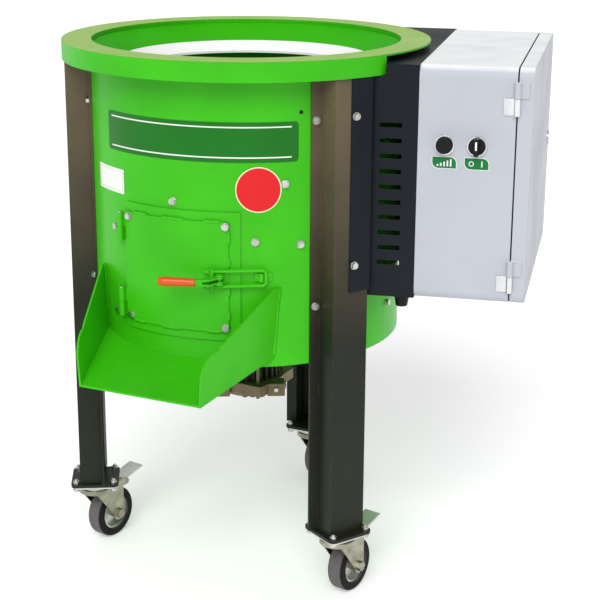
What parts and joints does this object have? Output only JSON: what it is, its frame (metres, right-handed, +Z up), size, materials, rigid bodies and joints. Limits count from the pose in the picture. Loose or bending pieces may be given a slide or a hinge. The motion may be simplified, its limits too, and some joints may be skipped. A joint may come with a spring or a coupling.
{
  "type": "walnut huller",
  "caption": "Walnut huller: upright green drum on castered folded legs, spinning scrub disc under a hopper rim, latched discharge gate over a chute, and a side electrical cabinet.",
  "frame": {"origin": "on the floor under the drum's axis", "axes": "+Z up, chute towards -Y, cabinet towards +X"},
  "size_m": [0.8058, 0.7833, 0.893],
  "materials": {
    "green_paint": "gloss powder coat",
    "dark_paint": "satin powder coat",
    "slate_paint": "satin powder coat",
    "cabinet_paint": "light grey powder coat",
    "zinc": "bright zinc plate",
    "steel": "machined steel",
    "white_plastic": "moulded white plastic",
    "tyre_rubber": "grey-black rubber",
    "grip_vinyl": "dipped orange vinyl",
    "black_plastic": "moulded black plastic",
    "motor_paint": "black enamel on aluminium fins",
    "bell_cast": "bare casting",
    "gasket_rubber": "foam rubber",
    "drive_plastic": "moulded grey plastic",
    "terminal_plastic": "moulded grey plastic"
  },
  "bodies": {
    "frame": {"drum_shell": "green_paint", "rim_ring": "green_paint", "splash_cone": "green_paint", "drum_floor": "green_paint", "gate_frame": "green_paint", "hinge_brackets": "green_paint", "latch_catch": "green_paint", "discharge_chute": "green_paint", "throat_ring": "white_plastic", "scrub_bars": "steel", "frame_bolts": "zinc", "hinge_pins": "zinc", "caster_plates": "zinc", "motor_tie_rods": "zinc", "mounting_plate": "zinc", "control_switches": "zinc", "leg_left": "dark_paint", "leg_right": "dark_paint", "leg_rear": "dark_paint", "foot_plates": "dark_paint", "motor_body": "motor_paint", "motor_end_bell": "bell_cast", "support_box": "slate_paint", "cabinet_body": "cabinet_paint", "cabinet_hinges": "cabinet_paint", "cabinet_gasket": "gasket_rubber", "inverter": "drive_plastic", "terminal_rail": "terminal_plastic", "cable_gland": "black_plastic"},
    "gate": {"discharge_gate": "green_paint", "gate_plug": "green_paint", "gate_bolts": "zinc", "latch_base": "green_paint", "latch_pivot_pin": "green_paint"},
    "lever": {"latch_lever": "green_paint", "latch_grip": "grip_vinyl"},
    "ubolt": {"latch_ubolt": "green_paint", "latch_trunnion": "green_paint", "latch_nuts": "green_paint"},
    "rotor": {"motor_shaft": "steel", "rotor_disc": "steel", "rotor_ribs": "steel", "rotor_hub": "steel"},
    "cabinet_door": {"cabinet_door": "cabinet_paint"},
    "cabinet_lock": {"cabinet_lock": "zinc"},
    "speed_knob": {"speed_knob": "black_plastic"},
    "selector_knob": {"selector_knob": "black_plastic"},
    "caster_left": {"fork_left": "zinc"},
    "wheel_left": {"rim_left": "zinc", "tyre_left": "tyre_rubber"},
    "brake_left": {"brake_left": "zinc"},
    "caster_right": {"fork_right": "zinc"},
    "wheel_right": {"rim_right": "zinc", "tyre_right": "tyre_rubber"},
    "brake_right": {"brake_right": "zinc"},
    "caster_rear": {"fork_rear": "zinc"},
    "wheel_rear": {"rim_rear": "zinc", "tyre_rear": "tyre_rubber"},
    "brake_rear": {"brake_rear": "zinc"}
  },
  "joints": [
    {"name": "rotor_spin", "type": "hinge", "parent": "frame", "child": "rotor", "pos_m": [0, 0, 0.45], "axis": [0, 0, 1], "continuous": true},
    {"name": "gate_hinge", "type": "hinge", "parent": "frame", "child": "gate", "pos_m": [-0.08693, -0.25245, 0.5575], "axis": [0, 0, -1], "range_deg": [0, 70]},
    {"name": "latch_lever", "type": "hinge", "parent": "gate", "child": "lever", "pos_m": [0.09621, -0.25869, 0.558], "axis": [0, 0, 1], "range_deg": [0, 120]},
    {"name": "ubolt_swing", "type": "hinge", "parent": "lever", "child": "ubolt", "pos_m": [0.08444, -0.26147, 0.558], "axis": [0, 0, 1], "range_deg": [-120, 0]},
    {"name": "cabinet_door_hinge", "type": "hinge", "parent": "frame", "child": "cabinet_door", "pos_m": [0.48473, -0.0472, 0.699], "axis": [0, 0, -1], "range_deg": [0, 110]},
    {"name": "cabinet_lock_turn", "type": "hinge", "parent": "cabinet_door", "child": "cabinet_lock", "pos_m": [0.3936, 0.38292, 0.699], "axis": [0.9659, 0.2588, 0], "range_deg": [0, 90]},
    {"name": "speed_turn", "type": "hinge", "parent": "frame", "child": "speed_knob", "pos_m": [0.38104, -0.06976, 0.762], "axis": [0.2588, -0.9659, 0], "range_deg": [-135, 135]},
    {"name": "selector_turn", "type": "hinge", "parent": "frame", "child": "selector_knob", "pos_m": [0.42837, -0.05708, 0.762], "axis": [0.2588, -0.9659, 0], "range_deg": [-90, 0]},
    {"name": "swivel_left", "type": "hinge", "parent": "frame", "child": "caster_left", "pos_m": [-0.22893, -0.14305, 0.0972], "axis": [0, 0, 1], "continuous": true},
    {"name": "wheel_spin_left", "type": "hinge", "parent": "caster_left", "child": "wheel_left", "pos_m": [-0.22406, -0.10839, 0.045], "axis": [-0.9903, 0.1392, 0], "continuous": true},
    {"name": "brake_pedal_left", "type": "hinge", "parent": "caster_left", "child": "brake_left", "pos_m": [-0.22086, -0.08562, 0.0982], "axis": [0.9903, -0.1392, 0], "range_deg": [0, 20]},
    {"name": "swivel_right", "type": "hinge", "parent": "frame", "child": "caster_right", "pos_m": [0.23835, -0.12673, 0.0972], "axis": [0, 0, 1], "continuous": true},
    {"name": "wheel_spin_right", "type": "hinge", "parent": "caster_right", "child": "wheel_right", "pos_m": [0.24322, -0.09208, 0.045], "axis": [-0.9903, 0.1392, 0], "continuous": true},
    {"name": "brake_pedal_right", "type": "hinge", "parent": "caster_right", "child": "brake_right", "pos_m": [0.24642, -0.0693, 0.0982], "axis": [0.9903, -0.1392, 0], "range_deg": [0, 20]},
    {"name": "swivel_rear", "type": "hinge", "parent": "frame", "child": "caster_rear", "pos_m": [-0.00942, 0.26979, 0.0972], "axis": [0, 0, 1], "continuous": true},
    {"name": "wheel_spin_rear", "type": "hinge", "parent": "caster_rear", "child": "wheel_rear", "pos_m": [-0.00455, 0.30445, 0.045], "axis": [-0.9903, 0.1392, 0], "continuous": true},
    {"name": "brake_pedal_rear", "type": "hinge", "parent": "caster_rear", "child": "brake_rear", "pos_m": [-0.00135, 0.32722, 0.0982], "axis": [0.9903, -0.1392, 0], "range_deg": [0, 20]}
  ],
  "couplings": [
    {"joint": "ubolt_swing", "follows": "latch_lever", "ratio": -1}
  ]
}
